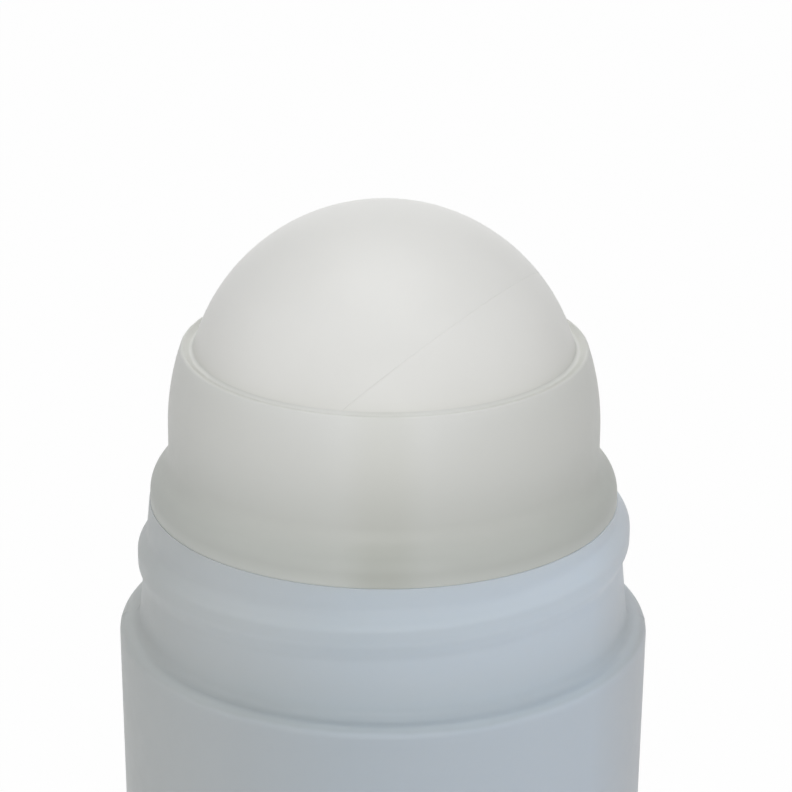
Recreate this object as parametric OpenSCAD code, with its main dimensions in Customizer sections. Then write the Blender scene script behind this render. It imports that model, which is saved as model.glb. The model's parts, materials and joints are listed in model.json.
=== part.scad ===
// A roll-on bottle: a blown bottle with a threaded neck, a ball housing pushed
// into the neck, a hollow ball held under the housing's lip, and the liquid.
// The part stands on Z = 0, its axis is Z, and -Y faces the viewer.

/* [Ball] */
// Diameter of the ball
ball_d = 35.5; // [28:0.1:36]
// Wall of the hollow ball
ball_wall = 1.6; // [1:0.1:3]
// Height of the step that locates the two halves of the ball
weld_step_h = 1.2; // [0.6:0.1:2]
// Side gap of that step
weld_gap = 0.05; // [0.02:0.01:0.1]
// Lean of the ball's weld line, from level
weld_lean = 45; // [0:1:90]
// Direction of that lean, round the bottle
weld_turn = 151; // [0:1:360]

/* [Ball housing] */
// Gap between the ball and its socket
ball_gap = 0.2; // [0.1:0.05:0.4]
// Height of the ball's middle above the neck's rim
ball_rise = 9.5; // [9:0.1:11]
// Height of the lip above the ball's middle
lip_h = 4.95; // [4:0.05:6]
// Rounding of the lip's outer edge
lip_round = 0.25; // [0.15:0.05:0.6]
// Slope of the lip's top, down towards the ball
lip_slope = 25; // [0:1:40]
// Wall of the housing at its belly
belly_wall = 1.5; // [1.3:0.05:2]
// Drop from the ball's middle to the belly
belly_drop = 2.4; // [1:0.1:4]
// Radius of the bulge of the wall above the belly
bulge_r = 22.3; // [20:0.1:40]
// Drop from the ball's middle to the top of the flare
flare_drop = 4.65; // [4:0.05:5]
// Height of the flare between the wall and the flange
flare_h = 4; // [3:0.1:4.3]
// Step from the belly out to the flange's edge
flange_step = 1.7; // [1.3:0.05:2.2]
// Rounding of the flange's lower edge
flange_round = 0.15; // [0.1:0.05:0.3]
// Wall of the cup under the ball
cup_wall = 1.2; // [0.8:0.1:1.6]
// Radius of the feed hole in the cup
feed_hole_r = 8; // [5:0.5:9]
// Number of notches round the feed hole
notch_count = 6; // [3:1:9]
// Width of a notch
notch_w = 2.4; // [1.5:0.1:3]
// Reach of a notch past the feed hole
notch_reach = 3; // [2:0.5:4]
// Depth of the plug in the neck
plug_h = 8.6; // [7:0.1:9]
// Wall of the plug
plug_wall = 1.1; // [0.8:0.1:1.3]
// Gap between the plug and the neck's bore
plug_gap = 0.05; // [0.03:0.01:0.1]
// Height and width of the plug's lead-in
plug_lead_in = 0.6; // [0.3:0.1:0.9]
// Radius of the snap ring round the plug
snap_round = 0.5; // [0.4:0.05:0.55]
// Relief of the snap ring on the plug
snap_relief = 0.3; // [0.2:0.05:0.35]
// Drop from the neck's rim to the snap ring
snap_drop = 4.2; // [3:0.1:5]

/* [Neck] */
// Height of the neck, from the shoulder's level to its rim
neck_h = 11.8; // [11:0.1:14]
// Width of the flange's seat on the rim, out from the neck's bore
seat_w = 1.55; // [1.2:0.05:1.8]
// Wall of the neck at its rim
neck_wall = 1.65; // [1.5:0.05:2]
// Growth of the neck's radius from its rim to its foot
neck_flare = 1.15; // [0.8:0.05:1.4]
// Rounding of the neck's rim
rim_round = 0.15; // [0.1:0.05:0.5]
// Fillet between the neck and the shoulder
neck_fillet = 0.9; // [0.3:0.1:1]

/* [Thread] */
// Rise of the thread in one turn
thread_lead = 4.95; // [4:0.05:5.6]
// Turns of the thread
thread_turns = 1.05; // [0.5:0.01:1.15]
// Height of the thread over the neck's radius at the rim
thread_h = 1.15; // [1:0.05:1.5]
// Width of the thread at its root
thread_root_w = 3.4; // [2.6:0.1:3.4]
// Width of the thread's flat crest
thread_crest_w = 1.1; // [0.8:0.1:1.6]
// Drop from the neck's rim to the thread's middle at +X
thread_drop = 2.9; // [2.9:0.1:3.6]
// Angle from +X to the thread's upper end
thread_start = 75; // [40:1:80]
// Angle over which each end of the thread dies away
thread_fade = 26; // [15:1:40]
// Sink of the thread into the neck's wall
thread_sink = 0.5; // [0.3:0.1:0.8]

/* [Body] */
// Height of the shoulder's level above the table
shoulder_z = 51; // [40:0.5:80]
// Rounding of the shoulder
shoulder_r = 1; // [0.8:0.05:2.5]
// Width of the ledge, from the neck's foot to the body's side
ledge_w = 1.8; // [1.5:0.05:3]
// Loss of the body's radius from the ledge to the heel
body_taper = 0.6; // [0:0.05:1]
// Wall of the body
body_wall = 1.2; // [0.8:0.1:1.6]
// Rounding of the heel
heel_r = 3; // [2:0.1:5]
// Wall of the shoulder
shoulder_wall = 1.6; // [1.2:0.1:2]
// Thickness of the base
base_t = 1.5; // [1:0.1:2]
// Rise of the base's middle
push_up_h = 2.5; // [1:0.1:4]
// Width of the ring that the bottle stands on
foot_ring_w = 3.1; // [2:0.1:6]

/* [Liquid] */
// Drop from the shoulder's level to the liquid's surface
fill_drop = 7; // [5:0.5:30]
// Gap between the liquid and the wall
liquid_gap = 0.05; // [0.02:0.01:0.1]

/* [Hidden] */
$fn = 96;
// Overrun of a cut past the face that it opens
cut_over = 1;
// Straight pieces in a small rounding, and in a large curve
round_steps = 8;
curve_steps = 16;
// Steps of the thread in one turn
thread_steps = 60;
milky = "#dcdcd2";
bluish_white = "#c9d3dc";
cream = "#f1efe6";

ball_r = ball_d/2;
socket_r = ball_r + ball_gap;
cup_r = socket_r + cup_wall;
belly_r = socket_r + belly_wall;
flange_r = belly_r + flange_step;
neck_bore_r = flange_r - seat_w;
neck_rim_r = neck_bore_r + neck_wall;
neck_foot_r = neck_rim_r + neck_flare;
thread_r = neck_rim_r + thread_h;
body_r = neck_foot_r + ledge_w;
foot_r = body_r - body_taper;
foot_ring_r = foot_r - heel_r - foot_ring_w;
rim_z = shoulder_z + neck_h;
ball_z = rim_z + ball_rise;
fill_z = shoulder_z - fill_drop;
plug_r = neck_bore_r - plug_gap;
plug_in_r = plug_r - plug_wall;
push_up_r = (foot_ring_r*foot_ring_r + push_up_h*push_up_h)/(2*push_up_h);
inner_r = body_r - body_wall;
fade_share = thread_fade/(360*thread_turns);

// Points of an arc round (x, z), from angle a to angle b
function arc(x, z, r, a, b, steps) =
    [for (i = [0:steps]) let (t = a + (b - a)*i/steps) [x + r*cos(t), z + r*sin(t)]];

// Radius of the neck's outer wall at a height
function neck_r_at(z) =
    neck_foot_r + (neck_rim_r - neck_foot_r)*(z - shoulder_z)/neck_h;

// Radius of the housing's wall at a height over the ball's middle
function bulge_at(z) =
    belly_r - bulge_r + sqrt(bulge_r*bulge_r - pow(z + belly_drop, 2));

// Outline of the bottle's outside, from the axis at the base to the axis at the rim
function bottle_outline() =
    let (
        cx = body_r - shoulder_r,
        cz = shoulder_z - shoulder_r,
        fx = neck_foot_r + neck_fillet,
        past = max(0, fx - cx),
        fz = cz + sqrt(pow(shoulder_r + neck_fillet, 2) - pow(past, 2)),
        lean = atan2(fz - cz, past)
    )
    concat(
        [[0, 0]],
        arc(foot_r - heel_r, heel_r, heel_r, -90, 0, round_steps),
        arc(cx, cz, shoulder_r, 0, lean, round_steps),
        arc(fx, fz, neck_fillet, lean + 180, 180, round_steps),
        arc(neck_rim_r - rim_round, rim_z - rim_round, rim_round, 0, 90, round_steps),
        [[0, rim_z]]
    );

// Outline of the bottle's inside up to the neck, drawn in by a gap
function inside_outline(gap) =
    let (
        heel_in = heel_r - body_wall,
        r = inner_r - gap,
        top_z = shoulder_z - shoulder_wall - gap
    )
    concat(
        [[0, base_t + gap]],
        arc(foot_r - heel_r, base_t + gap + heel_in, heel_in - gap, -90, 0, round_steps),
        arc(r - shoulder_r, top_z - shoulder_r, shoulder_r, 0, 90, round_steps),
        [[0, top_z]]
    );

// The space inside the body, over the raised base
module body_inside(gap) {
    difference() {
        rotate_extrude() polygon(inside_outline(gap));
        translate([0, 0, push_up_h - push_up_r]) sphere(push_up_r + base_t + gap);
    }
}

// Four corners of the thread's section, at a share of its length
function thread_section(share) =
    let (
        turn = thread_start - 360*thread_turns*share,
        z = rim_z - thread_drop + thread_lead*turn/360,
        fade = min(1, share/fade_share, (1 - share)/fade_share),
        root = neck_r_at(z) - thread_sink,
        buried = root + thread_sink/2,
        crest = buried + (thread_r - buried)*sin(90*fade),
        corners = [
            [root, -thread_root_w/2],
            [crest, -thread_crest_w/2],
            [crest, thread_crest_w/2],
            [root, thread_root_w/2]
        ]
    )
    [for (c = corners) [c[0]*cos(turn), c[0]*sin(turn), z + c[1]]];

// The thread: one right-handed rib that dies away at both ends
module thread() {
    steps = round(thread_steps*thread_turns);
    corners = len(thread_section(0));
    points = [for (i = [0:steps]) each thread_section(i/steps)];
    sides = [
        for (i = [0:steps - 1], c = [0:corners - 1])
            let (
                a = i*corners + c,
                b = i*corners + (c + 1)%corners
            )
            each [[a, b + corners, b], [a, a + corners, b + corners]]
    ];
    last = steps*corners;
    ends = [[0, 1, 2], [0, 2, 3], [last, last + 2, last + 1], [last, last + 3, last + 2]];
    polyhedron(points, concat(sides, ends), convexity = 6);
}

// Ring round the plug, or the groove that takes it
module snap_ring(gap) {
    translate([0, 0, rim_z - snap_drop])
        rotate_extrude()
            translate([plug_r + snap_relief - snap_round, 0]) circle(snap_round + gap);
}

module bottle() {
    color(bluish_white)
    difference() {
        union() {
            rotate_extrude() polygon(bottle_outline());
            thread();
        }
        body_inside(0);
        translate([0, 0, push_up_h - push_up_r]) sphere(push_up_r);
        translate([0, 0, shoulder_z - shoulder_wall - shoulder_r])
            cylinder(h = neck_h + shoulder_wall + shoulder_r + cut_over, r = neck_bore_r);
        snap_ring(plug_gap);
    }
}

// Section of the housing, filled in to the feed hole, round the ball's middle
function housing_outline() =
    let (
        bend = 2*atan(flange_step/flare_h),
        bend_r = flare_h/2/sin(bend),
        lip_z = lip_h - lip_round,
        lip_x = bulge_at(lip_z) - lip_round,
        flare_low = -flare_drop - flare_h,
        plug_low = -ball_rise - plug_h,
        bulge_x = belly_r - bulge_r,
        bulge_end = asin((lip_z + belly_drop)/bulge_r)
    )
    concat(
        arc(0, 0, cup_r, -acos(feed_hole_r/cup_r), -asin(ball_rise/cup_r), curve_steps),
        [
            [plug_in_r, -ball_rise],
            [plug_in_r, plug_low],
            [plug_r - plug_lead_in/2, plug_low],
            [plug_r, plug_low + plug_lead_in],
            [plug_r, -ball_rise]
        ],
        arc(flange_r - flange_round, flange_round - ball_rise, flange_round, -90, 0, round_steps),
        arc(flange_r - bend_r, flare_low, bend_r, 0, bend, round_steps),
        arc(belly_r + bend_r, -flare_drop, bend_r, 180 + bend, 180, round_steps),
        arc(bulge_x, -belly_drop, bulge_r, 0, bulge_end, curve_steps),
        arc(lip_x, lip_z, lip_round, 0, 90 + lip_slope, round_steps),
        [[feed_hole_r, lip_h - (lip_x - feed_hole_r)*tan(lip_slope)]]
    );

module ball_housing() {
    notch_len = feed_hole_r + notch_reach;
    notch_drop = sqrt(socket_r*socket_r - notch_len*notch_len);
    color(milky)
    difference() {
        union() {
            translate([0, 0, ball_z]) rotate_extrude() polygon(housing_outline());
            snap_ring(0);
        }
        translate([0, 0, ball_z]) sphere(socket_r);
        for (i = [0:notch_count - 1])
            rotate([0, 0, 360*i/notch_count])
                translate([0, -notch_w/2, ball_z - cup_r])
                    cube([notch_len, notch_w, cup_r - notch_drop]);
    }
}

// Half of the hollow ball, above its weld plane, round the ball's middle
module half_shell() {
    difference() {
        sphere(ball_r);
        sphere(ball_r - ball_wall);
        translate([0, 0, -ball_d]) cylinder(h = ball_d, r = ball_d);
    }
}

// Lean the ball's axis and carry it to its place
module place_ball() {
    translate([0, 0, ball_z]) rotate([0, weld_lean, weld_turn]) children();
}

// The half with the step that enters the other half
module ball_upper_shell() {
    step_r = ball_r - ball_wall/2 - weld_gap;
    color(cream)
    place_ball()
        union() {
            half_shell();
            translate([0, 0, -weld_step_h])
                difference() {
                    cylinder(h = weld_step_h, r = step_r);
                    translate([0, 0, -cut_over])
                        cylinder(h = weld_step_h + 2*cut_over, r = ball_r - ball_wall);
                }
        }
}

// The half with the rebate that takes the step
module ball_lower_shell() {
    color(cream)
    place_ball()
        difference() {
            mirror([0, 0, 1]) half_shell();
            translate([0, 0, -weld_step_h])
                cylinder(h = weld_step_h + cut_over, r = ball_r - ball_wall/2);
        }
}

module liquid_fill() {
    color(cream, 0.8)
    intersection() {
        body_inside(liquid_gap);
        cylinder(h = fill_z, r = body_r);
    }
}

bottle();
ball_housing();
ball_upper_shell();
ball_lower_shell();
liquid_fill();
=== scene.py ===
# Roll-on bottle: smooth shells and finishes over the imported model.
# Sizes are in millimetres and angles in degrees.
# An outline's corners are (radius, height, rounding) round the bottle's axis.
import json
import math

import bmesh
import bpy
from mathutils import Matrix, Quaternion, Vector


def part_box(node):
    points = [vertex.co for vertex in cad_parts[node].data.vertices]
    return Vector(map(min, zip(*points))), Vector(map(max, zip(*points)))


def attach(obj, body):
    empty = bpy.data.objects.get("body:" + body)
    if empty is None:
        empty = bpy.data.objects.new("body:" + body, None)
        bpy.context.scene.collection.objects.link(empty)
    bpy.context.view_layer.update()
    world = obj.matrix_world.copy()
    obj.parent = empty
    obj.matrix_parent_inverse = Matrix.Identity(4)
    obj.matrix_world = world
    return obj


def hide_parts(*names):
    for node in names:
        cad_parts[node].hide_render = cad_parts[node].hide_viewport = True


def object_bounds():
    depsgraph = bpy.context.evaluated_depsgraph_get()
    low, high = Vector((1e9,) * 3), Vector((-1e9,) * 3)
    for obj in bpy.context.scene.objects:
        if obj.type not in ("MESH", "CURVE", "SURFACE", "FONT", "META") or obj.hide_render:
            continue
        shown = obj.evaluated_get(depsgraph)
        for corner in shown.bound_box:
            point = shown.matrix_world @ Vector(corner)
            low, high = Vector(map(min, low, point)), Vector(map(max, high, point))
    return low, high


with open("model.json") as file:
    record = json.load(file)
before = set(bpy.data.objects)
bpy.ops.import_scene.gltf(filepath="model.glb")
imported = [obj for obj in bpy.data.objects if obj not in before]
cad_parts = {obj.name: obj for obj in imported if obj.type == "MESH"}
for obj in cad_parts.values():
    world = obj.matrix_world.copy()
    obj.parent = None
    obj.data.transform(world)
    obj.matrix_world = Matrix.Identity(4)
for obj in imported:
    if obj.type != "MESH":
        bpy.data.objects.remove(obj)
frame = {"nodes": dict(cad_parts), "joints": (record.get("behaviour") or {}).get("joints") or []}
cad_low, cad_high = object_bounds()

MM = 0.001
WHITE = (1, 1, 1, 1)

# Read from the frame
bottle_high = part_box("bottle")[1] / MM
housing_low, housing_high = [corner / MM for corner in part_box("ball_housing")]
ball_middle = Vector(frame["joints"][0]["pos_m"]) / MM
ball_z = ball_middle.z
ball_r = cad_high.z / MM - ball_z
rim_z = bottle_high.z
body_r = bottle_high.x
flange_r = housing_high.x
lip_z = housing_high.z
plug_low = housing_low.z

# Meshing
TURN_STEPS = 240
ROUND_STEPS = 6
ARC_STEPS = 28
DOME_STEPS = 10
FLOOR_STEPS = 96
NECK_RINGS = 64
BODY_RINGS = 12
TALL_WALL = 5.0
MERGE_GAP = 1e-4
SHARP = math.radians(35)
FACING = 0.5
THREAD_SHADE = "thread_shade"

# Ball
ball_wall = 1.6
weld_step_h = 1.2
weld_gap = 0.05
weld_round = 0.03
weld_lean = 45
weld_turn = 151
ball_gap = 0.2
ball_cloud = 8.0
# How far over the lip the ball's painted shade reaches
ball_shade_rise = 6.0

# Ball housing
lip_round = 0.25
lip_slope = 25
lip_gap = 0.01
lip_seal_h = 0.8
lip_fillet = 0.35
lip_edge_t = 0.015
belly_wall = 1.5
belly_drop = 2.4
bulge_r = 22.3
flare_drop = 4.65
flare_h = 4.0
flange_round = 0.03
cup_wall = 1.2
feed_hole_r = 8.0
notch_count = 6
notch_w = 2.4
notch_reach = 3.0
plug_wall = 1.1
plug_gap = 0.05
plug_lead_in = 0.6
snap_round = 0.5
snap_relief = 0.3
snap_drop = 4.2

# Where the housing's painted light and shade change
housing_cloud = 6.0
housing_wander = 0.6
reflection_core = 0.6
reflection_edge = 4.2
lip_shade_in = 0.5
lip_shade_out = 0.6
side_shade_start = 3.0
side_shade_end = 13.0

# Bottle
neck_wall = 1.65
neck_flare = 1.15
neck_h = 11.8
rim_round = 0.03
neck_fillet = 0.9
ledge_round = 1.0
seat_w = 1.55
body_taper = 0.6
body_wall = 1.2
shoulder_wall = 1.6
heel_r = 3.0
base_t = 1.5
push_up_h = 2.5
foot_ring_w = 3.1
neck_cloud = 9.0
neck_wander = 0.8
light_depth = 1.0

# Cap thread
thread_lead = 4.95
thread_turns = 1.05
thread_h = 1.15
thread_root_w = 4.7
thread_crest_w = 1.0
thread_drop = 2.9
thread_start = 75
thread_fade = 26

# Mould parting line
parting_h = 0.06
parting_w = 0.22

# Camera, as fitted to the photograph
PHOTO_SIDE = 792
SENSOR = 36.0
focal_px = 3200.0
camera_distance = 287.5
camera_elevation = 20.7
camera_roll = 0.375
ball_off_centre_px = 11.7
nearest_seen = 10.0
farthest_seen = 10000.0

# Studio: each soft box has its azimuth, elevation and power in watts
SOFT_BOXES = {
    "front_box": (0, 12, 1.6),
    "top_box": (0, 88, 1.6),
    "left_box": (-75, 20, 0.5),
    "right_box": (75, 20, 0.5),
    "back_box": (180, 45, 0.35),
    "low_back_box": (180, 8, 0.3),
}
box_distance = 600.0
box_width = 500.0
world_strength = 0.115
floor_r = 2000.0
floor_gap = 0.02
floor_white_share = 0.98

# Worked out from the sizes above
ledge_z = rim_z - neck_h
socket_r = ball_r + ball_gap
belly_r = socket_r + belly_wall
cup_r = socket_r + cup_wall
bore_r = flange_r - seat_w
plug_r = bore_r - plug_gap
snap_x = plug_r + snap_relief - snap_round
neck_rim_r = bore_r + neck_wall
neck_foot_r = neck_rim_r + neck_flare
foot_r = body_r - body_taper


def arc(x, z, r, start, end, steps=ARC_STEPS):
    """Points of an arc round (x, z), from one angle to another, counted from +X towards +Z."""
    turns = [math.radians(start + (end - start) * i / steps) for i in range(steps + 1)]
    return [(x + r * math.cos(t), z + r * math.sin(t), 0) for t in turns]


def snap_arc(wall_r, r):
    """The part of the snap ring, or of the groove round it, that stands out of an upright wall."""
    turn = math.degrees(math.acos((wall_r - snap_x) / r))
    return arc(snap_x, rim_z - snap_drop, r, turn, -turn, ROUND_STEPS)


def turn_outline(corners, closed=False, rings=()):
    """Round an outline's corners, cut its tall walls into rings, and spin it to a closed shell."""
    bm = bmesh.new()
    verts = [bm.verts.new((r, 0, z)) for r, z, _ in corners]
    pairs = list(zip(verts, verts[1:]))
    if closed:
        pairs.append((verts[-1], verts[0]))
    for a, b in pairs:
        bm.edges.new((a, b))
    for vert, (_, _, rounding) in zip(verts, corners):
        if rounding:
            ways = [edge.other_vert(vert).co - vert.co for edge in vert.link_edges]
            run = rounding / math.tan(ways[0].angle(ways[1]) / 2)
            bmesh.ops.bevel(bm, geom=[vert], offset=run, offset_type="OFFSET", affect="VERTICES",
                            segments=ROUND_STEPS, profile=0.5, material=-1)
    for bottom, top, cuts in rings:
        walls = [e for e in bm.edges
                 if all(bottom < v.co.z < top for v in e.verts) and e.calc_length() > TALL_WALL]
        bmesh.ops.subdivide_edges(bm, edges=walls, cuts=cuts)
    bmesh.ops.spin(bm, geom=list(bm.verts) + list(bm.edges), cent=(0, 0, 0), axis=(0, 0, 1),
                   angle=2 * math.pi, steps=TURN_STEPS, use_merge=True)
    bmesh.ops.remove_doubles(bm, verts=list(bm.verts), dist=MERGE_GAP)
    bmesh.ops.recalc_face_normals(bm, faces=list(bm.faces))
    return bm


def link_object(name, data):
    """Put a mesh, a lamp or a camera into the scene."""
    made = bpy.data.objects.new(name, data)
    bpy.context.scene.collection.objects.link(made)
    return made


def mesh_object(name, bm):
    """Put a bmesh into an object of its own."""
    mesh = bpy.data.meshes.new(name)
    bm.to_mesh(mesh)
    bm.free()
    return link_object(name, mesh)


def cut_out(bm, tool):
    """Cut one closed bmesh out of another."""
    blank, cutter = mesh_object("blank", bm), mesh_object("cutter", tool)
    cut = blank.modifiers.new("cut", "BOOLEAN")
    cut.object = cutter
    cut.operation = "DIFFERENCE"
    cut.solver = "EXACT"
    graph = bpy.context.evaluated_depsgraph_get()
    result = bpy.data.meshes.new_from_object(blank.evaluated_get(graph))
    out = bmesh.new()
    out.from_mesh(result)
    for mesh in (blank.data, cutter.data, result):
        bpy.data.meshes.remove(mesh)
    return out


def make_piece(bm, name, material, body, slot, *nodes):
    """Turn a mesh in millimetres into a smooth piece that rides on a body and stands for nodes."""
    bmesh.ops.scale(bm, vec=(MM, MM, MM), verts=bm.verts)
    for face in bm.faces:
        face.smooth = True
    for edge in bm.edges:
        edge.smooth = edge.calc_face_angle(0) < SHARP
    piece = mesh_object(name, bm)
    piece.data.materials.append(material)
    weights = piece.modifiers.new("flat_walls", "WEIGHTED_NORMAL")
    weights.keep_sharp = True
    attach(piece, body)
    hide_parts(*nodes)


def linear(colour):
    """An sRGB hex colour as linear RGBA."""
    parts = [int(colour[i:i + 2], 16) / 255 for i in (1, 3, 5)]
    return [c / 12.92 if c <= 0.04045 else ((c + 0.055) / 1.055) ** 2.4 for c in parts] + [1.0]


def add_node(tree, kind, links=None, values=None, stops=None, **settings):
    """Add a node with its settings, socket values, ramp stops and incoming links."""
    made = tree.nodes.new(kind)
    for name, value in settings.items():
        setattr(made, name, value)
    for key, value in (values or {}).items():
        made.inputs[key].default_value = value
    for key, source in (links or {}).items():
        tree.links.new(source, made.inputs[key])
    if stops:
        elements = made.color_ramp.elements
        while len(elements) < len(stops):
            elements.new(1.0)
        for element, (place, colour) in zip(elements, stops):
            element.position = place
            element.color = linear(colour)
    return made


def start_material(name):
    """A new material with its tree, its shader and the object's own coordinates."""
    material = bpy.data.materials.new(name)
    material.use_nodes = True
    tree = material.node_tree
    shader = tree.nodes["Principled BSDF"]
    place = add_node(tree, "ShaderNodeTexCoord").outputs["Object"]
    return material, tree, shader, place


def set_shader(shader, **values):
    """Set sockets of a shader, with underscores for the blanks in their names."""
    for name, value in values.items():
        shader.inputs[name.replace("_", " ")].default_value = value


def uneven_surface(tree, shader, place, size, depth, rough_low, rough_high):
    """Fine unevenness of a surface, in its height and in its roughness."""
    noise = add_node(tree, "ShaderNodeTexNoise", {"Vector": place},
                     {"Scale": 1 / (size * MM), "Detail": 4.0, "Roughness": 0.55})
    bump = add_node(tree, "ShaderNodeBump", {"Height": noise.outputs["Fac"]},
                    {"Strength": 1.0, "Distance": depth * MM})
    rough = add_node(tree, "ShaderNodeMapRange", {"Value": noise.outputs["Fac"]},
                     {"From Min": 0.3, "From Max": 0.7, "To Min": rough_low, "To Max": rough_high})
    tree.links.new(bump.outputs["Normal"], shader.inputs["Normal"])
    tree.links.new(rough.outputs["Result"], shader.inputs["Roughness"])


def uneven_rise(tree, place, height, bottom, top, cloud, detail, wander):
    """The share of the way up from bottom to top, at levels that wander up and down in soft clouds."""
    noise = add_node(tree, "ShaderNodeTexNoise", {"Vector": place},
                     {"Scale": 1 / (cloud * MM), "Detail": detail})
    uneven = add_node(tree, "ShaderNodeMath", {0: noise.outputs["Fac"], 2: height}, {1: wander * MM},
                      operation="MULTIPLY_ADD")
    rise = add_node(tree, "ShaderNodeMapRange", {"Value": uneven.outputs["Value"]},
                    {"From Min": (bottom + wander / 2) * MM, "From Max": (top + wander / 2) * MM})
    return rise.outputs["Result"]


def blown_polyethylene():
    """High-density polyethylene, blown in a mould: satin and bluish, with painted light and shade."""
    material, tree, shader, place = start_material("blown_polyethylene")
    axes = add_node(tree, "ShaderNodeSeparateXYZ", {"Vector": place})

    # Painted light and shade from the left, where it is greyer, to the right, where it is lighter and
    # bluer
    side = add_node(tree, "ShaderNodeMapRange", {"Value": axes.outputs["X"]},
                    {"From Min": -body_r * MM, "From Max": body_r * MM})
    across = add_node(tree, "ShaderNodeValToRGB", {"Fac": side.outputs["Result"]},
                      stops=[(0.0, "#bfc3c2"), (0.2, "#c4cacd"), (0.45, "#c4ced6"), (0.88, "#d4dfea"),
                             (1.0, "#d0d5da")])

    # Painted shade at the neck's foot, where it meets the shoulder, and less of it at the left
    rise = uneven_rise(tree, place, axes.outputs["Z"], bottom=ledge_z - ledge_round, top=rim_z,
                       cloud=neck_cloud, detail=3.0, wander=neck_wander)
    painted_foot_shade = add_node(tree, "ShaderNodeValToRGB", {"Fac": rise},
                    stops=[(0.03, "#f1f1f1"), (0.05, "#e6e7e5"), (0.09, "#ecedec"), (0.17, "#f3f4f3"),
                           (0.28, "#f7f7f6"), (0.5, "#ffffff")])
    foot_shade_share = add_node(tree, "ShaderNodeMapRange", {"Value": side.outputs["Result"]},
                          {"From Min": 0.02, "From Max": 0.25, "To Min": 0.25, "To Max": 1.0})
    foot_shaded = add_node(tree, "ShaderNodeMix",
                      {0: foot_shade_share.outputs["Result"], 6: across.outputs["Color"],
                       7: painted_foot_shade.outputs["Color"]},
                      data_type="RGBA", blend_type="MULTIPLY")

    # Painted shade over the thread's crest and upper flank, which face the light
    thread_shade = add_node(tree, "ShaderNodeAttribute", attribute_name=THREAD_SHADE)
    colour = add_node(tree, "ShaderNodeMix", {0: thread_shade.outputs["Fac"], 6: foot_shaded.outputs[2]},
                      {7: linear("#fcfcfb")}, data_type="RGBA", blend_type="MULTIPLY")
    tree.links.new(colour.outputs[2], shader.inputs["Base Color"])
    set_shader(shader, IOR=1.54, Subsurface_Weight=0.5, Subsurface_Radius=(1.0, 1.1, 1.2),
               Subsurface_Scale=light_depth * MM, Specular_IOR_Level=0.4)
    uneven_surface(tree, shader, place, size=1.6, depth=0.006, rough_low=0.42, rough_high=0.52)
    return material


def natural_polyethylene():
    """Natural low-density polyethylene, moulded: milky, with painted light and shade."""
    material, tree, shader, place = start_material("natural_polyethylene")
    axes = add_node(tree, "ShaderNodeSeparateXYZ", {"Vector": place})
    aside = add_node(tree, "ShaderNodeMath", {0: axes.outputs["X"]}, operation="ABSOLUTE")

    # Painted light and shade: darkest a little over the neck's rim, and lighter up to the lip
    rise = uneven_rise(tree, place, axes.outputs["Z"], bottom=rim_z, top=lip_z,
                       cloud=housing_cloud, detail=2.0, wander=housing_wander)
    wall = add_node(tree, "ShaderNodeValToRGB", {"Fac": rise},
                    stops=[(0.0, "#cccfca"), (0.08, "#c0c3be"), (0.16, "#c0c3be"), (0.3, "#cbcdc8"),
                           (0.7, "#dddeda"), (1.0, "#e6e7e4")])

    # A painted dark reflection, in a narrow strip down the front, darkest low down
    narrow = add_node(tree, "ShaderNodeMapRange", {"Value": aside.outputs["Value"]},
                      {"From Min": reflection_edge * MM, "From Max": reflection_core * MM},
                      interpolation_type="SMOOTHSTEP")
    front = add_node(tree, "ShaderNodeMapRange", {"Value": axes.outputs["Y"]},
                     {"From Min": 0.0, "From Max": -belly_r * MM})
    run = add_node(tree, "ShaderNodeMath", {0: narrow.outputs["Result"], 1: front.outputs["Result"]},
                   operation="MULTIPLY")
    painted_darkening = add_node(tree, "ShaderNodeValToRGB", {"Fac": rise}, stops=[(0.05, "#f1f1ee"), (0.3, "#f9f9f7")])
    reflected_front = add_node(tree, "ShaderNodeMix",
                       {0: run.outputs["Value"], 6: wall.outputs["Color"], 7: painted_darkening.outputs["Color"]},
                       data_type="RGBA", blend_type="MULTIPLY")

    # Painted shade on the lip's top, which faces the light
    flat = add_node(tree, "ShaderNodeVectorMath", {0: place}, {1: (1, 1, 0)}, operation="MULTIPLY")
    radius = add_node(tree, "ShaderNodeVectorMath", {0: flat.outputs["Vector"]}, operation="LENGTH")
    across = add_node(tree, "ShaderNodeMapRange", {"Value": radius.outputs["Value"]},
                      {"From Min": (ball_r - lip_shade_in) * MM,
                       "From Max": (ball_r + lip_shade_out) * MM})
    lip_top_shade = add_node(tree, "ShaderNodeValToRGB", {"Fac": across.outputs["Result"]},
                    stops=[(0.05, "#ffffff"), (0.25, "#f4f4f2"), (0.7, "#f4f4f2"), (0.88, "#ffffff")])
    lipped = add_node(tree, "ShaderNodeMix", {6: reflected_front.outputs[2], 7: lip_top_shade.outputs["Color"]}, {0: 1.0},
                      data_type="RGBA", blend_type="MULTIPLY")

    # Painted shade high up on both sides
    sideways = add_node(tree, "ShaderNodeMapRange", {"Value": aside.outputs["Value"]},
                        {"From Min": side_shade_start * MM, "From Max": side_shade_end * MM})
    upper = add_node(tree, "ShaderNodeMapRange", {"Value": rise}, {"From Min": 0.55, "From Max": 0.9})
    upper_side = add_node(tree, "ShaderNodeMath",
                          {0: sideways.outputs["Result"], 1: upper.outputs["Result"]},
                          operation="MULTIPLY")
    colour = add_node(tree, "ShaderNodeMix", {0: upper_side.outputs["Value"], 6: lipped.outputs[2]},
                      {7: linear("#f7f7f6")}, data_type="RGBA", blend_type="MULTIPLY")
    tree.links.new(colour.outputs[2], shader.inputs["Base Color"])
    set_shader(shader, IOR=1.51, Specular_IOR_Level=0.4)
    uneven_surface(tree, shader, place, size=1.0, depth=0.004, rough_low=0.42, rough_high=0.52)
    return material


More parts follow.
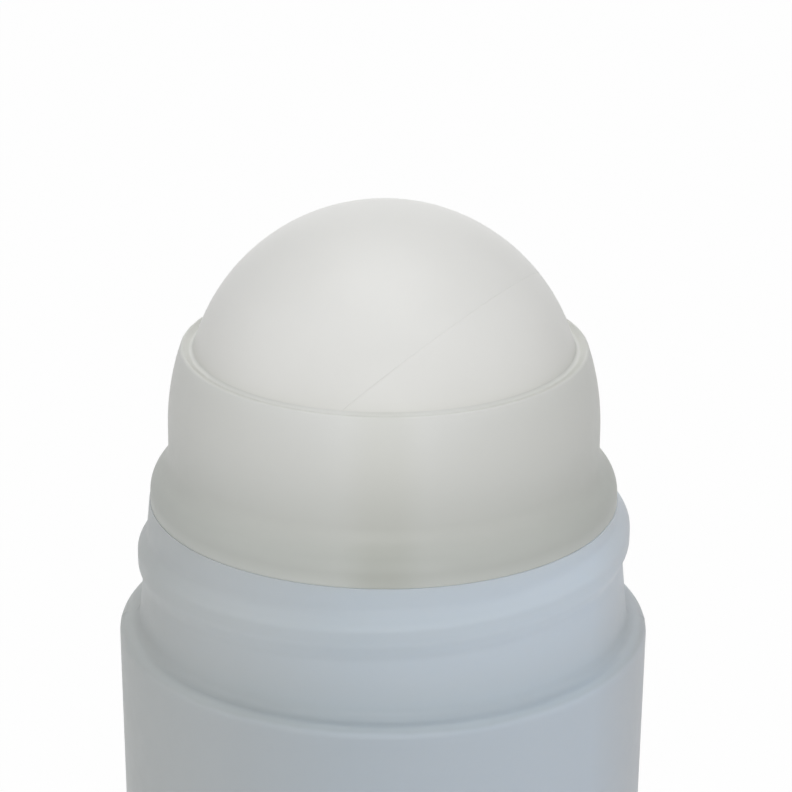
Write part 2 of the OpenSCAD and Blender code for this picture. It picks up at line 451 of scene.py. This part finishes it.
def ground_polypropylene():
    """Natural polypropylene, ground and tumbled: milky and finely scuffed, with painted shade low down
    towards the lip.

    Real scuffs are too fine to show, so they are drawn about ten times as wide.
    """
    material, tree, shader, place = start_material("ground_polypropylene")
    cloud = add_node(tree, "ShaderNodeTexNoise", {"Vector": place},
                     {"Scale": 1 / (ball_cloud * MM), "Detail": 3.0})
    milk = add_node(tree, "ShaderNodeValToRGB", {"Fac": cloud.outputs["Fac"]},
                    stops=[(0.2, "#eeeeeb"), (0.8, "#f1f1ee")])
    axes = add_node(tree, "ShaderNodeSeparateXYZ", {"Vector": place})
    # Painted shade, darker low down towards the housing's lip
    painted_darkening = add_node(tree, "ShaderNodeMapRange", {"Value": axes.outputs["Z"]},
                   {"From Min": (lip_z + ball_shade_rise) * MM, "From Max": lip_z * MM})
    colour = add_node(tree, "ShaderNodeMix", {0: painted_darkening.outputs["Result"], 6: milk.outputs["Color"]},
                      {7: linear("#f9f9f8")}, data_type="RGBA", blend_type="MULTIPLY")
    tree.links.new(colour.outputs[2], shader.inputs["Base Color"])
    set_shader(shader, IOR=1.49, Specular_IOR_Level=0.4)
    uneven_surface(tree, shader, place, size=0.5, depth=0.001, rough_low=0.40, rough_high=0.48)
    return material


def milky_liquid():
    """A thick milky lotion at rest: opaque, glossy, a little creamier where it has settled."""
    material, tree, shader, place = start_material("milky_liquid")
    axes = add_node(tree, "ShaderNodeSeparateXYZ", {"Vector": place})
    rise = add_node(tree, "ShaderNodeMapRange", {"Value": axes.outputs["Z"]},
                    {"From Min": 0.0, "From Max": ledge_z * MM})
    milk = add_node(tree, "ShaderNodeValToRGB", {"Fac": rise.outputs["Result"]},
                    stops=[(0.0, "#e9e4d6"), (1.0, "#f1eee4")])
    tree.links.new(milk.outputs["Color"], shader.inputs["Base Color"])
    set_shader(shader, IOR=1.40, Subsurface_Weight=0.5, Subsurface_Radius=(1.5, 1.4, 1.2),
               Subsurface_Scale=light_depth * MM)
    uneven_surface(tree, shader, place, size=5.0, depth=0.02, rough_low=0.12, rough_high=0.18)
    return material


def thread_at(angle, height):
    """The cap thread at a place on the neck.

    Gives how far it stands out, as a share of its height, and how far the place is over its crest.
    """
    best = (0.0, 0.0)
    length = 360 * thread_turns
    for lap in (0, -360):
        turn = angle + lap
        done = thread_start - turn
        if not 0 < done < length:
            continue
        crest = rim_z - thread_drop + thread_lead * turn / 360
        slope = (thread_root_w / 2 - abs(height - crest)) / (thread_root_w / 2 - thread_crest_w / 2)
        slope = min(1.0, max(0.0, slope))
        fade = min(1.0, done / thread_fade, (length - done) / thread_fade)
        share = slope * slope * (3 - 2 * slope) * math.sin(math.radians(90 * fade))
        best = max(best, (share, height - crest))
    return best


def raise_thread(bm):
    """Draw the neck's outer wall out into the cap thread, and note where it gets painted shade.

    The note is strongest just over the thread's crest, on the upper flank that faces the light.
    """
    thread_shade = bm.verts.layers.float.new(THREAD_SHADE)
    for vert in bm.verts:
        x, y, z = vert.co
        radius = math.hypot(x, y)
        if radius < bore_r + neck_wall / 2 or not ledge_z + neck_fillet < z < rim_z - rim_round / 2:
            continue
        share, rise = thread_at(math.degrees(math.atan2(y, x)), z)
        # How much painted shade this place gets
        vert[thread_shade] = share * (0.5 + rise / thread_root_w)
        grown = radius + (neck_rim_r + thread_h - radius) * share
        vert.co.x *= grown / radius
        vert.co.y *= grown / radius


def raise_parting_line(bm):
    """Raise the line where the two halves of the mould met, down both sides and across the base."""
    for side in (-1, 1):
        bmesh.ops.bisect_plane(bm, geom=list(bm.verts) + list(bm.edges) + list(bm.faces),
                               plane_co=(0, side * parting_w / 2, 0), plane_no=(0, 1, 0), dist=MERGE_GAP)
    bm.normal_update()
    for vert in bm.verts:
        if abs(vert.co.y) > MERGE_GAP:
            continue
        outwards = vert.normal.x * math.copysign(1, vert.co.x)
        wall = outwards > FACING and heel_r < vert.co.z < ledge_z + neck_fillet
        base = vert.normal.z < -FACING and parting_h * 2 < vert.co.z < push_up_h + parting_h
        if (wall and abs(vert.co.x) < body_r - parting_h) or base:
            vert.co += vert.normal * parting_h


def build_bottle():
    """The bottle, from its raised base up the outside to the rim, and down inside."""
    ring_r = foot_r - heel_r - foot_ring_w
    dome_r = (ring_r ** 2 + push_up_h ** 2) / (2 * push_up_h)
    dome_z = push_up_h - dome_r
    dome_turn = math.degrees(math.asin(ring_r / dome_r))
    inner_r = dome_r + base_t
    inner_turn = math.degrees(math.acos((base_t - dome_z) / inner_r))
    outline = [
        *arc(0, dome_z, dome_r, 90, 90 - dome_turn, DOME_STEPS),
        (foot_r, 0, heel_r),
        (body_r, ledge_z, ledge_round),
        (neck_foot_r, ledge_z, neck_fillet),
        (neck_rim_r, rim_z, rim_round),
        (bore_r, rim_z, rim_round / 2),
        *snap_arc(bore_r, snap_round + plug_gap),
        (bore_r, ledge_z - shoulder_wall, rim_round),
        (body_r - body_wall, ledge_z - shoulder_wall, ledge_round),
        (foot_r - body_wall, base_t, heel_r - body_wall),
        *arc(0, dome_z, inner_r, 90 - inner_turn, 90, DOME_STEPS),
    ]
    bm = turn_outline(outline, rings=[(ledge_z, rim_z, NECK_RINGS), (0, ledge_z, BODY_RINGS)])
    raise_thread(bm)
    raise_parting_line(bm)
    make_piece(bm, "blown_bottle", blown_polyethylene(), "container", "bottle_plastic", "bottle")


def lip_points():
    """The socket up to a fine edge that wipes the ball, and the lip's top and outside.

    The lip's top runs down to the ball, and a fillet draws its edge up along the ball.
    """
    bulge_x = belly_r - bulge_r
    lip_low = lip_z - lip_round
    lip_turn = math.degrees(math.asin((lip_low - ball_z + belly_drop) / (bulge_r - lip_round)))
    lip_x = bulge_x + (bulge_r - lip_round) * math.cos(math.radians(lip_turn))
    slope = math.radians(lip_slope)
    upward = Vector((-math.sin(slope), math.cos(slope)))
    inward = Vector((-math.cos(slope), -math.sin(slope)))
    start = Vector((lip_x, lip_low - ball_z)) + (lip_round + lip_fillet) * upward
    reach = ball_r + lip_gap + lip_edge_t + lip_fillet
    along = start.dot(inward)
    fillet = start - (along + math.sqrt(along ** 2 - start.length_squared + reach ** 2)) * inward
    wipe_turn = math.degrees(math.atan2(fillet.y, fillet.x))
    seal_turn = wipe_turn - math.degrees(lip_seal_h / ball_r)
    hole_turn = math.degrees(math.acos(feed_hole_r / socket_r))
    return [
        *arc(0, ball_z, socket_r, -hole_turn, seal_turn, 3 * ARC_STEPS),
        *arc(0, ball_z, ball_r + lip_gap, (seal_turn + wipe_turn) / 2, wipe_turn, ROUND_STEPS),
        *arc(fillet.x, ball_z + fillet.y, lip_fillet, 180 + wipe_turn, 270 + lip_slope, 2 * ROUND_STEPS),
        *arc(lip_x, lip_low, lip_round, 90 + lip_slope, lip_turn, 2 * ROUND_STEPS),
        *arc(bulge_x, ball_z - belly_drop, bulge_r, lip_turn, 0)[1:],
    ]


def flange_points():
    """The soft step from the belly out to the flange, and the flange's lower edge."""
    bend = 2 * math.degrees(math.atan((flange_r - belly_r) / flare_h))
    bend_r = flare_h / 2 / math.sin(math.radians(bend))
    flare_z = ball_z - flare_drop
    return [
        *arc(belly_r + bend_r, flare_z, bend_r, 180, 180 + bend),
        *arc(flange_r - bend_r, flare_z - flare_h, bend_r, bend, 0)[1:],
        (flange_r, rim_z, flange_round),
    ]


def plug_points():
    """The plug with its snap ring, and the cup's underside in to the feed hole."""
    cup_turn = math.degrees(math.asin((ball_z - rim_z) / cup_r))
    hole_turn = math.degrees(math.acos(feed_hole_r / cup_r))
    return [
        (plug_r, rim_z, 0),
        *snap_arc(plug_r, snap_round),
        (plug_r, plug_low + plug_lead_in, 0),
        (plug_r - plug_lead_in / 2, plug_low, 0),
        (plug_r - plug_wall, plug_low, 0),
        (plug_r - plug_wall, rim_z, 0),
        *arc(0, ball_z, cup_r, -cup_turn, -hole_turn),
    ]


def cut_notches(bm):
    """Cut the notches that lead out from the feed hole."""
    reach = feed_hole_r + notch_reach
    top = ball_z - math.sqrt(socket_r ** 2 - reach ** 2)
    bottom = ball_z - cup_r
    tool = bmesh.new()
    for i in range(notch_count):
        turn = Matrix.Rotation(2 * math.pi * i / notch_count, 3, "Z")
        notch = bmesh.ops.create_cube(tool, size=1.0)["verts"]
        bmesh.ops.scale(tool, vec=(reach, notch_w, top - bottom), verts=notch)
        bmesh.ops.translate(tool, vec=(reach / 2, 0, (top + bottom) / 2), verts=notch)
        bmesh.ops.rotate(tool, cent=(0, 0, 0), matrix=turn, verts=notch)
    return cut_out(bm, tool)


def build_housing():
    """The ball's housing, from its socket over the lip to the plug and the cup."""
    bm = turn_outline([*lip_points(), *flange_points(), *plug_points()], closed=True)
    make_piece(cut_notches(bm), "moulded_housing", natural_polyethylene(), "container",
               "housing_plastic", "ball_housing")


def build_half_ball(name, node, material, outline):
    """Spin half of the hollow ball about its weld's axis and turn it to its place."""
    bm = turn_outline(outline)
    turn = Matrix.Rotation(math.radians(weld_turn), 4, "Z")
    lean = turn @ Matrix.Rotation(math.radians(weld_lean), 4, "Y")
    bmesh.ops.transform(bm, matrix=Matrix.Translation(ball_middle) @ lean, verts=bm.verts)
    make_piece(bm, name, material, "ball", "ball_plastic", node)


def build_ball():
    """The two welded halves of the ball: one has a step that the other's rebate takes."""
    material = ground_polypropylene()
    hollow_r = ball_r - ball_wall
    rebate_r = ball_r - ball_wall / 2
    step_r = rebate_r - weld_gap
    step_turn = math.degrees(math.asin(weld_step_h / hollow_r))
    steps = 2 * ARC_STEPS
    upper = [
        *arc(0, 0, ball_r, 90, 0, steps)[:-1],
        (ball_r, 0, weld_round),
        (step_r, 0, 0),
        (step_r, -weld_step_h, 0),
        (hollow_r, -weld_step_h, 0),
        *arc(0, 0, hollow_r, 0, 90, steps),
    ]
    lower = [
        *arc(0, 0, ball_r, -90, 0, steps)[:-1],
        (ball_r, 0, weld_round),
        (rebate_r, 0, 0),
        (rebate_r, -weld_step_h, 0),
        *arc(0, 0, hollow_r, -step_turn, -90, steps),
    ]
    build_half_ball("upper_half_ball", "ball_upper_shell", material, upper)
    build_half_ball("lower_half_ball", "ball_lower_shell", material, lower)


def finish_liquid():
    """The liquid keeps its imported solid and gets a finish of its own."""
    liquid = frame["nodes"]["liquid_fill"]
    liquid.data.materials.clear()
    liquid.data.materials.append(milky_liquid())


def place_camera():
    """Look at the ball from where the photograph was taken."""
    data = bpy.data.cameras.new("camera")
    data.lens = focal_px / PHOTO_SIDE * SENSOR
    data.sensor_width = SENSOR
    data.clip_start = nearest_seen * MM
    data.clip_end = farthest_seen * MM
    camera = link_object("camera", data)
    bpy.context.scene.camera = camera
    tilt = math.radians(camera_elevation)
    eye = ball_middle + camera_distance * Vector((0, -math.cos(tilt), math.sin(tilt)))
    aim = ball_middle + Vector((ball_off_centre_px / focal_px * camera_distance, 0, 0))
    look = (aim - eye).to_track_quat("-Z", "Y")
    camera.rotation_mode = "QUATERNION"
    camera.location = eye * MM
    camera.rotation_quaternion = look @ Quaternion((0, 0, 1), math.radians(camera_roll))


def add_soft_box(name, azimuth, elevation, power):
    """A square lamp that faces the ball: azimuth 0 is the viewer's side, and 90 the viewer's right."""
    data = bpy.data.lights.new(name, "AREA")
    data.shape = "SQUARE"
    data.size = box_width * MM
    data.energy = power
    lamp = link_object(name, data)
    a, e = math.radians(azimuth), math.radians(elevation)
    away = Vector((math.sin(a) * math.cos(e), -math.cos(a) * math.cos(e), math.sin(e)))
    lamp.location = (ball_middle + away * box_distance) * MM
    lamp.rotation_mode = "QUATERNION"
    lamp.rotation_quaternion = (-away).to_track_quat("-Z", "Y")


def seen_directly(tree):
    """1 for rays that come from the camera, a reflection or a clear material, and 0 for the rest."""
    path = add_node(tree, "ShaderNodeLightPath")
    first = add_node(tree, "ShaderNodeMath",
                     {0: path.outputs["Is Camera Ray"], 1: path.outputs["Is Glossy Ray"]},
                     operation="MAXIMUM")
    both = add_node(tree, "ShaderNodeMath",
                    {0: first.outputs["Value"], 1: path.outputs["Is Transmission Ray"]},
                    operation="MAXIMUM")
    return both.outputs["Value"]


def light_world():
    """Even studio light all round, seen as plain white."""
    world = bpy.data.worlds.new("studio")
    bpy.context.scene.world = world
    world.use_nodes = True
    tree = world.node_tree
    tree.nodes.clear()
    lit = add_node(tree, "ShaderNodeBackground", values={"Color": WHITE, "Strength": world_strength})
    white = add_node(tree, "ShaderNodeBackground", values={"Color": WHITE, "Strength": 1.0})
    mixed = add_node(tree, "ShaderNodeMixShader",
                     {0: seen_directly(tree), 1: lit.outputs[0], 2: white.outputs[0]})
    add_node(tree, "ShaderNodeOutputWorld", {"Surface": mixed.outputs[0]})


def lay_floor():
    """White studio paper, which the camera sees nearly white, with the object's shadow on it."""
    material = bpy.data.materials.new("studio_paper")
    material.use_nodes = True
    tree = material.node_tree
    tree.nodes.clear()
    paper = add_node(tree, "ShaderNodeBsdfDiffuse", values={"Color": linear("#f2f2f2")})
    white = add_node(tree, "ShaderNodeEmission", values={"Color": WHITE, "Strength": 1.0})
    share = add_node(tree, "ShaderNodeMath", {0: seen_directly(tree)}, {1: floor_white_share},
                     operation="MULTIPLY")
    mixed = add_node(tree, "ShaderNodeMixShader",
                     {0: share.outputs["Value"], 1: paper.outputs[0], 2: white.outputs[0]})
    add_node(tree, "ShaderNodeOutputMaterial", {"Surface": mixed.outputs[0]})
    bm = bmesh.new()
    # A hair under the object, so that the paper and the standing ring aren't in one plane
    bmesh.ops.create_circle(bm, cap_ends=True, segments=FLOOR_STEPS, radius=floor_r * MM,
                            matrix=Matrix.Translation((0, 0, -floor_gap * MM)))
    floor = mesh_object("floor", bm)
    floor.data.materials.append(material)


place_camera()
build_bottle()
build_housing()
build_ball()
finish_liquid()

light_world()
for box_name, (azimuth, elevation, power) in SOFT_BOXES.items():
    add_soft_box(box_name, azimuth, elevation, power)
lay_floor()

bpy.context.scene.view_settings.view_transform = "Standard"
